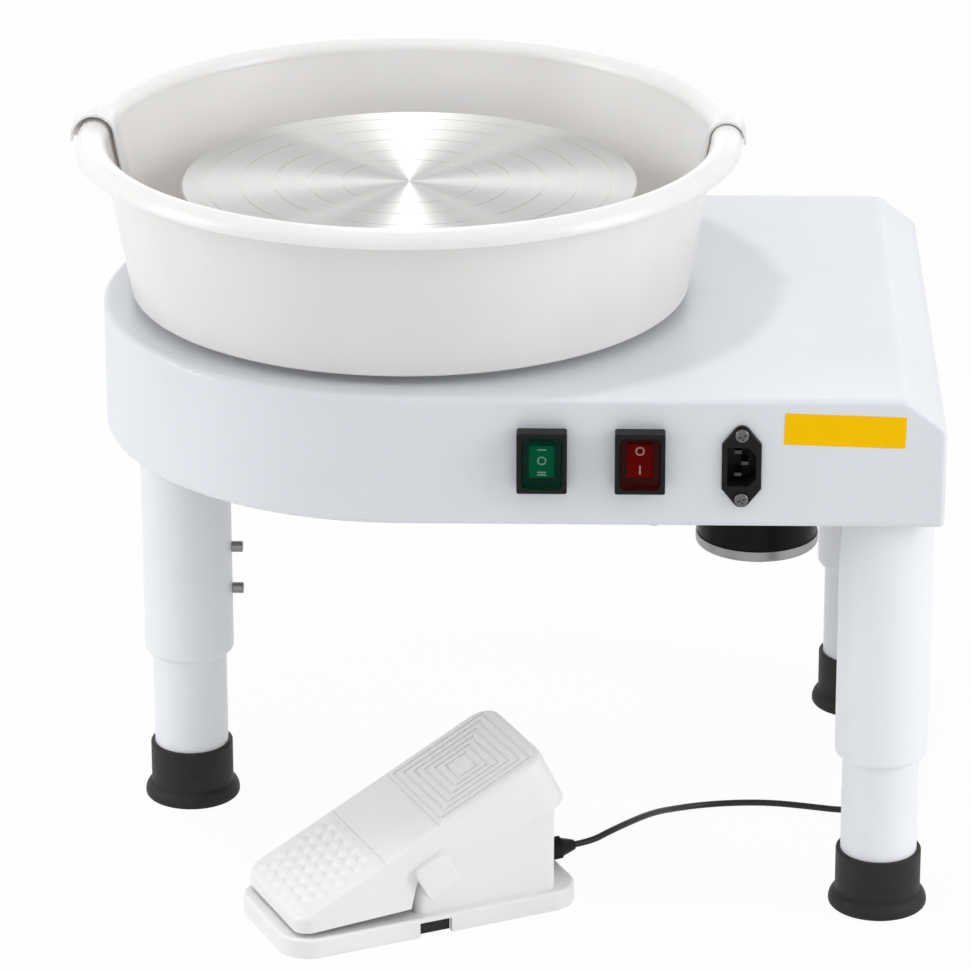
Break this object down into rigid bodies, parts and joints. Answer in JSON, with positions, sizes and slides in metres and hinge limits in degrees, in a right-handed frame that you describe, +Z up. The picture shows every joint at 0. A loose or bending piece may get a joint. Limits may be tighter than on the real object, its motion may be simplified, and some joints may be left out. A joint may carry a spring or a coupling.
{
  "type": "electric pottery wheel",
  "caption": "Electric pottery wheel: turned wheel head in a split splash pan on a low white table with telescopic legs, front switches and a foot pedal on a cord.",
  "frame": {"origin": "on the floor, under the middle of the bounding box of everything but the pedal's cord", "axes": "+Z up along the wheel axis, +X to the right as seen from the switch panel, +Y away from the switch panel"},
  "size_m": [0.5286, 0.4412, 0.4513],
  "materials": {
    "white_paint": "satin",
    "pan_plastic": "gloss",
    "pedal_plastic": "matte",
    "foot_rubber": "matte",
    "wheel_aluminium": "turned",
    "machined_steel": "machined",
    "zinc_steel": "zinc plated",
    "black_steel": "black oxide",
    "cast_aluminium": "as cast",
    "belt_rubber": "matte",
    "motor_black": "gloss",
    "board_green": "satin",
    "brass": "turned",
    "black_plastic": "satin",
    "green_hood": "clear tinted",
    "red_hood": "clear tinted",
    "green_rocker": "gloss",
    "red_rocker": "gloss",
    "nylon": "matte",
    "cord_black": "satin"
  },
  "bodies": {
    "stand": {"bearing_balls": "machined_steel", "bearing_circlip": "black_steel", "bearing_housing": "cast_aluminium", "bearing_outer_rings": "machined_steel", "board_heatsink": "cast_aluminium", "board_standoffs": "brass", "bottom_cover": "zinc_steel", "control_board": "board_green", "cover_screws": "zinc_steel", "cover_tabs": "zinc_steel", "direction_hood": "green_hood", "direction_switch": "black_plastic", "drive_belt": "belt_rubber", "housing_screws": "zinc_steel", "inlet_blades": "brass", "inlet_screws": "zinc_steel", "inlet_socket": "black_plastic", "leg_clamp_screws": "zinc_steel", "leg_guide_bushes": "nylon", "leg_sleeve_front": "white_paint", "leg_sleeve_left": "white_paint", "leg_sleeve_rear": "white_paint", "motor_barrel": "motor_black", "motor_bracket": "zinc_steel", "motor_end_cap": "cast_aluminium", "motor_screws": "zinc_steel", "pedal_base": "pedal_plastic", "pedal_cord": "cord_black", "pedal_gland": "black_plastic", "pedal_grip_bar": "foot_rubber", "pedal_housing": "pedal_plastic", "pedal_screws": "zinc_steel", "power_hood": "red_hood", "power_switch": "black_plastic", "speed_sender": "black_plastic", "table_gland": "black_plastic", "table_shell": "white_paint", "treadle_pin": "machined_steel"},
    "rotor": {"wheel_head": "wheel_aluminium", "head_grub_screw": "black_steel", "spindle": "machined_steel", "bearing_inner_rings": "machined_steel", "wheel_pulley": "cast_aluminium", "spindle_spacer": "machined_steel", "spindle_nut": "machined_steel"},
    "motor_rotor": {"motor_shaft": "machined_steel", "motor_pulley": "cast_aluminium"},
    "treadle": {"treadle": "pedal_plastic", "speed_sector": "nylon"},
    "pot_pinion": {"pot_pinion": "nylon"},
    "direction_rocker": {"direction_rocker": "green_rocker"},
    "power_rocker": {"power_rocker": "red_rocker"},
    "pan_front": {"splash_pan_front": "pan_plastic"},
    "pan_rear": {"splash_pan_rear": "pan_plastic"},
    "leg_left": {"leg_tube_left": "white_paint", "leg_foot_left": "foot_rubber"},
    "leg_front": {"leg_tube_front": "white_paint", "leg_foot_front": "foot_rubber"},
    "leg_rear": {"leg_tube_rear": "white_paint", "leg_foot_rear": "foot_rubber"}
  },
  "joints": [
    {"name": "wheel_spin", "type": "hinge", "parent": "stand", "child": "rotor", "pos_m": [-0.05645, 0.01762, 0.4113], "axis": [0, 0, 1], "continuous": true},
    {"name": "motor_spin", "type": "hinge", "parent": "stand", "child": "motor_rotor", "pos_m": [0.15955, 0.01762, 0.261], "axis": [0, 0, 1], "continuous": true},
    {"name": "treadle_tilt", "type": "hinge", "parent": "stand", "child": "treadle", "pos_m": [-0.05435, -0.14471, 0.039], "axis": [-0.4305, 0.9026, 0], "range_deg": [0, 13]},
    {"name": "pot_turn", "type": "hinge", "parent": "stand", "child": "pot_pinion", "pos_m": [-0.01435, -0.12563, 0.03119], "axis": [-0.4305, 0.9026, 0], "range_deg": [-60, 5]},
    {"name": "direction_rocker_tilt", "type": "hinge", "parent": "stand", "child": "direction_rocker", "pos_m": [0.02735, -0.16988, 0.3036], "axis": [1, 0, 0], "range_deg": [-9, 9]},
    {"name": "power_rocker_tilt", "type": "hinge", "parent": "stand", "child": "power_rocker", "pos_m": [0.08485, -0.16988, 0.3036], "axis": [1, 0, 0], "range_deg": [0, 18]},
    {"name": "leg_left_slide", "type": "slide", "parent": "stand", "child": "leg_left", "axis": [0, 0, 1], "range_m": [-0.055, 0.06]},
    {"name": "leg_front_slide", "type": "slide", "parent": "stand", "child": "leg_front", "axis": [0, 0, 1], "range_m": [-0.055, 0.06]},
    {"name": "leg_rear_slide", "type": "slide", "parent": "stand", "child": "leg_rear", "axis": [0, 0, 1], "range_m": [-0.055, 0.06]},
    {"name": "pan_front_pull", "type": "slide", "parent": "stand", "child": "pan_front", "axis": [0, -1, 0], "range_m": [0, 0.15]},
    {"name": "pan_rear_pull", "type": "slide", "parent": "stand", "child": "pan_rear", "axis": [0, 1, 0], "range_m": [0, 0.15]}
  ],
  "couplings": [
    {"joint": "motor_spin", "follows": "wheel_spin", "ratio": 5},
    {"joint": "pot_turn", "follows": "treadle_tilt", "ratio": -4}
  ]
}
